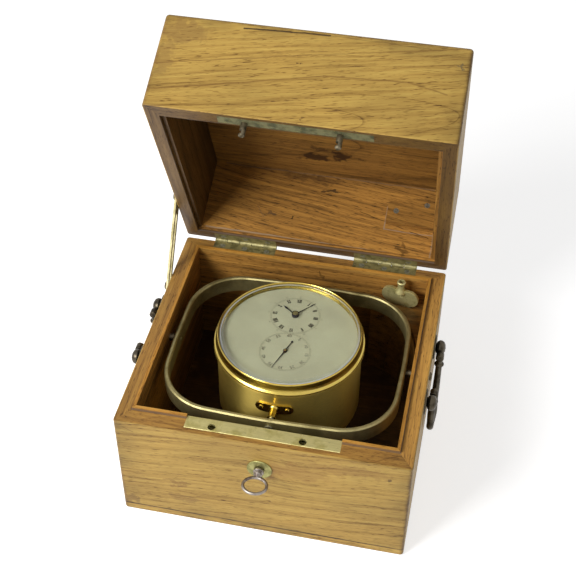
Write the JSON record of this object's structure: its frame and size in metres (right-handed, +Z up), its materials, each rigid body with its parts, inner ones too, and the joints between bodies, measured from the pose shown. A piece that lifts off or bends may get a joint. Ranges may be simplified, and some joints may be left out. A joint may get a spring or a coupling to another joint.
{
  "type": "gimballed timekeeper box",
  "caption": "Square wooden box with a hinged lid, lock, drop handles and a slotted stay, holding a brass bowl timekeeper hung in a gimbal ring.",
  "frame": {"origin": "middle of the flat base that the box stands on", "axes": "+X to the right as one faces the lock, +Y to the hinges at the back, +Z up"},
  "size_m": [0.1956, 0.2471, 0.2681],
  "materials": {
    "honey_wood": "French-polished hardwood, honey brown, worn along its edges",
    "lock_brass": "rolled brass, dulled by handling",
    "fitting_brass": "turned brass screws and studs, rubbed bright",
    "handle_bronze": "brass gone dark brown with age",
    "gimbal_brass": "lacquered brass, dull",
    "bowl_brass": "turned and lacquered brass",
    "dial_silver": "brass, silvered and yellowed",
    "crystal": "flat bevelled glass",
    "blued_steel": "steel, blued nearly black",
    "key_steel": "bare steel, lightly rusted",
    "movement_brass": "brass, fine grained"
  },
  "bodies": {
    "box": {"bottom_board": "honey_wood", "front_board": "honey_wood", "back_board": "honey_wood", "left_board": "honey_wood", "right_board": "honey_wood", "lock_faceplate": "lock_brass", "lock_case": "lock_brass", "escutcheon": "lock_brass", "body_hinge_leaves": "lock_brass", "hinge_pins": "fitting_brass", "body_hinge_screws": "fitting_brass", "handle_backplates": "handle_bronze", "handle_posts": "handle_bronze", "gimbal_pivot_screws": "fitting_brass", "stay_stud": "fitting_brass", "key_block": "honey_wood"},
    "lid": {"lid_front_board": "honey_wood", "lid_back_board": "honey_wood", "lid_left_board": "honey_wood", "lid_right_board": "honey_wood", "lid_top_panel": "honey_wood", "strike_plate": "lock_brass", "strike_studs": "fitting_brass", "lid_hinge_leaves": "lock_brass", "lid_hinge_screws": "fitting_brass", "lid_block": "honey_wood", "lid_block_screws": "fitting_brass", "stay_pivot_screw": "fitting_brass"},
    "stay": {"stay_arm": "lock_brass"},
    "bolt": {"lock_bolt": "lock_brass"},
    "key": {"lock_key": "key_steel"},
    "left_handle": {"left_bail": "handle_bronze"},
    "right_handle": {"right_bail": "handle_bronze"},
    "winder": {"winding_key": "bowl_brass"},
    "ring": {"gimbal_ring": "gimbal_brass", "bowl_pivot_pins": "gimbal_brass"},
    "bowl": {"bowl_shell": "bowl_brass", "bowl_trunnions": "gimbal_brass", "trunnion_screws": "blued_steel", "bezel": "bowl_brass", "glass": "crystal", "dial": "dial_silver", "pillar_plate": "movement_brass", "top_plate": "movement_brass", "movement_pillars": "movement_brass", "detent": "key_steel", "balance_cock": "movement_brass", "balance_spring": "key_steel"},
    "hours": {"hour_hand": "blued_steel"},
    "minutes": {"minute_hand": "blued_steel", "centre_wheel": "movement_brass"},
    "seconds": {"seconds_hand": "blued_steel", "fourth_wheel": "movement_brass"},
    "third": {"third_wheel": "movement_brass"},
    "escape": {"escape_wheel": "key_steel"},
    "balance": {"balance_wheel": "movement_brass"},
    "fusee_cone": {"fusee": "movement_brass"},
    "barrel": {"mainspring_barrel": "movement_brass"},
    "cover": {"dust_cover": "bowl_brass"}
  },
  "joints": [
    {"name": "lid_hinge", "type": "hinge", "parent": "box", "child": "lid", "pos_m": [0, 0.0862, 0.0868], "axis": [1, 0, 0], "range_deg": [0, 66.2]},
    {"name": "stay_pivot", "type": "hinge", "parent": "lid", "child": "stay", "pos_m": [-0.0916, 0.07418, 0.1309], "axis": [1, 0, 0], "range_deg": [-33.1, 0]},
    {"name": "key_turn", "type": "hinge", "parent": "box", "child": "key", "pos_m": [-0.0006, -0.09, 0.0639], "axis": [0, 1, 0], "range_deg": [0, 90]},
    {"name": "bolt_slide", "type": "slide", "parent": "box", "child": "bolt", "axis": [1, 0, 0], "range_m": [0, 0.003]},
    {"name": "right_handle_swing", "type": "hinge", "parent": "box", "child": "right_handle", "pos_m": [0.0946, 0, 0.0775], "axis": [0, -1, 0], "range_deg": [0, 100]},
    {"name": "left_handle_swing", "type": "hinge", "parent": "box", "child": "left_handle", "pos_m": [-0.0946, 0, 0.0775], "axis": [0, 1, 0], "range_deg": [0, 100]},
    {"name": "winder_lift", "type": "slide", "parent": "box", "child": "winder", "axis": [0, 0, 1], "range_m": [0, 0.018]},
    {"name": "ring_swing", "type": "hinge", "parent": "box", "child": "ring", "pos_m": [0, 0, 0.075], "axis": [1, 0, 0], "range_deg": [-45, 45]},
    {"name": "bowl_turn", "type": "hinge", "parent": "ring", "child": "bowl", "pos_m": [0, 0, 0.075], "axis": [0, 1, 0], "range_deg": [-180, 180]},
    {"name": "seconds_turn", "type": "hinge", "parent": "bowl", "child": "seconds", "pos_m": [0, -0.01389, 0.075], "axis": [0, 0, -1], "continuous": true},
    {"name": "minutes_turn", "type": "hinge", "parent": "bowl", "child": "minutes", "pos_m": [0, 0.01799, 0.075], "axis": [0, 0, -1], "continuous": true},
    {"name": "hours_turn", "type": "hinge", "parent": "bowl", "child": "hours", "pos_m": [0, 0.01799, 0.075], "axis": [0, 0, -1], "continuous": true},
    {"name": "third_turn", "type": "hinge", "parent": "bowl", "child": "third", "pos_m": [0.00734, 0.0015, 0.075], "axis": [0, 0, -1], "continuous": true},
    {"name": "escape_turn", "type": "hinge", "parent": "bowl", "child": "escape", "pos_m": [0.01437, -0.02144, 0.075], "axis": [0, 0, -1], "continuous": true},
    {"name": "fusee_turn", "type": "hinge", "parent": "bowl", "child": "fusee_cone", "pos_m": [-0.01902, 0.00924, 0.075], "axis": [0, 0, -1], "continuous": true},
    {"name": "barrel_turn", "type": "hinge", "parent": "bowl", "child": "barrel", "pos_m": [-0.015, -0.023, 0.075], "axis": [0, 0, -1], "continuous": true},
    {"name": "balance_swing", "type": "hinge", "parent": "bowl", "child": "balance", "pos_m": [0.02148, -0.01242, 0.0475], "axis": [0, 0, 1], "range_deg": [-135, 135], "stiffness_Nm_per_rad": 0.00007},
    {"name": "cover_swing", "type": "hinge", "parent": "bowl", "child": "cover", "pos_m": [-0.02317, 0.00069, 0.03], "axis": [0, 0, -1], "range_deg": [0, 90]}
  ],
  "couplings": [
    {"joint": "stay_pivot", "follows": "lid_hinge", "ratio": -0.5},
    {"joint": "key_turn", "follows": "bolt_slide", "rad_per_m": 523.6},
    {"joint": "minutes_turn", "follows": "seconds_turn", "ratio": 0.016667},
    {"joint": "hours_turn", "follows": "seconds_turn", "ratio": 0.0013889},
    {"joint": "third_turn", "follows": "seconds_turn", "ratio": -0.13333},
    {"joint": "escape_turn", "follows": "seconds_turn", "ratio": -8},
    {"joint": "fusee_turn", "follows": "seconds_turn", "ratio": -0.0027778},
    {"joint": "barrel_turn", "follows": "seconds_turn", "ratio": -0.0019556}
  ]
}
